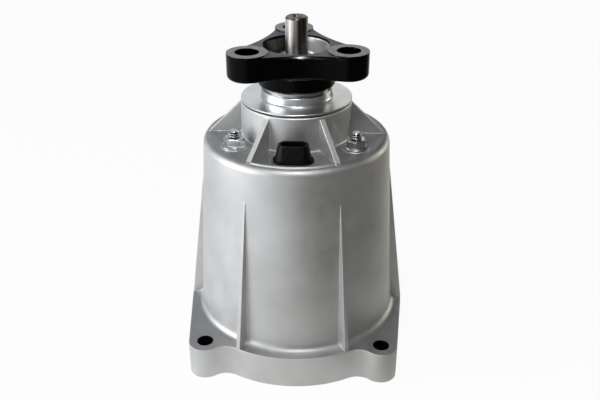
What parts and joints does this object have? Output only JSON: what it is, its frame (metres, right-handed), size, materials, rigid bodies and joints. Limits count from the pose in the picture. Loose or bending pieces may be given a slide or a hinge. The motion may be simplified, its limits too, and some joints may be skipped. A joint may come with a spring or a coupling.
{
  "type": "all-wheel-drive coupling",
  "caption": "Electromagnetic multi-plate coupling in a cast bell housing, with an arm flange and centring pin for the propeller shaft and a splined hub for the axle pinion.",
  "frame": {"origin": "centre of the base face that bolts to the differential carrier, on the axis of rotation", "axes": "+Z along the axis of rotation towards the propeller shaft, -Y towards the electrical connector"},
  "size_m": [0.1612, 0.1632, 0.2413],
  "materials": {
    "cast_aluminium": "satin die-cast aluminium with machined faces",
    "dark_steel": "black phosphated and oiled forging",
    "machined_steel": "turned and ground steel",
    "core_steel": "low-carbon steel, turned",
    "hardened_steel": "hardened and ground steel",
    "zinc_plate": "zinc plated with a clear bluish passivation",
    "winding": "enamelled copper winding in potting resin",
    "wire_sleeve": "black insulating sleeve",
    "connector_plastic": "black glass-filled nylon",
    "tinned_copper": "tinned brass",
    "seal_rubber": "black nitrile rubber",
    "o_ring_rubber": "black rubber",
    "spring_steel": "blued spring steel",
    "bearing_cage": "moulded polyamide cage",
    "stainless": "austenitic stainless steel",
    "friction_plate": "nitrided steel plate",
    "lined_plate": "steel plate with a paper friction lining",
    "bronze": "sintered bronze"
  },
  "bodies": {
    "housing": {"bell_housing": "cast_aluminium", "magnet_yoke": "core_steel", "magnet_coil": "winding", "magnet_lead": "wire_sleeve", "magnet_studs": "zinc_plate", "stud_nuts": "zinc_plate", "connector_body": "connector_plastic", "connector_terminals": "tinned_copper", "connector_seal": "o_ring_rubber", "oil_seal_case": "machined_steel", "oil_seal_lip": "seal_rubber", "oil_seal_spring": "spring_steel", "front_bearing_outer_ring": "hardened_steel", "bearing_circlip": "spring_steel"},
    "input_rotor": {"input_flange": "dark_steel", "input_shaft": "machined_steel", "flange_nut": "zinc_plate", "dust_deflector": "zinc_plate", "front_bearing_inner_ring": "hardened_steel", "magnet_break_ring": "stainless", "pole_plate": "core_steel", "cover_seal_ring": "o_ring_rubber", "clutch_drum": "core_steel", "filler_plug": "zinc_plate", "main_outer_plates": "friction_plate", "pilot_outer_plates": "friction_plate", "thrust_washer": "bronze", "hub_bush": "bronze", "needle_shell": "hardened_steel", "hub_seal": "seal_rubber"},
    "bearing_set": {"front_bearing_rollers": "hardened_steel", "front_bearing_cage": "bearing_cage"},
    "needle_set": {"hub_needles": "hardened_steel", "needle_cage": "bearing_cage"},
    "armature": {"armature_plate": "core_steel"},
    "pilot_cam_set": {"pilot_cam": "hardened_steel", "pilot_inner_plate": "friction_plate", "cam_balls": "hardened_steel"},
    "main_cam": {"main_cam": "hardened_steel"},
    "output": {"output_hub": "core_steel", "main_inner_plates": "lined_plate"}
  },
  "joints": [
    {"name": "input_spin", "type": "hinge", "parent": "housing", "child": "input_rotor", "pos_m": [0, 0, 0.165], "axis": [0, 0, 1], "continuous": true},
    {"name": "bearing_roll", "type": "hinge", "parent": "housing", "child": "bearing_set", "pos_m": [0, 0, 0.1655], "axis": [0, 0, 1], "continuous": true},
    {"name": "output_slip", "type": "hinge", "parent": "input_rotor", "child": "output", "pos_m": [0, 0, 0.07], "axis": [0, 0, 1], "continuous": true},
    {"name": "needle_roll", "type": "hinge", "parent": "input_rotor", "child": "needle_set", "pos_m": [0, 0, 0.05], "axis": [0, 0, 1], "continuous": true},
    {"name": "armature_slide", "type": "slide", "parent": "input_rotor", "child": "armature", "axis": [0, 0, 1], "range_m": [0, 0.0004]},
    {"name": "pilot_cam_turn", "type": "hinge", "parent": "output", "child": "pilot_cam_set", "pos_m": [0, 0, 0.1], "axis": [0, 0, 1], "range_deg": [0, 12]},
    {"name": "main_cam_slide", "type": "slide", "parent": "output", "child": "main_cam", "axis": [0, 0, -1], "range_m": [0, 0.000882]}
  ],
  "couplings": [
    {"joint": "bearing_roll", "follows": "input_spin", "ratio": 0.413},
    {"joint": "needle_roll", "follows": "output_slip", "ratio": 0.455},
    {"joint": "main_cam_slide", "follows": "pilot_cam_turn", "m_per_rad": 0.004211}
  ]
}
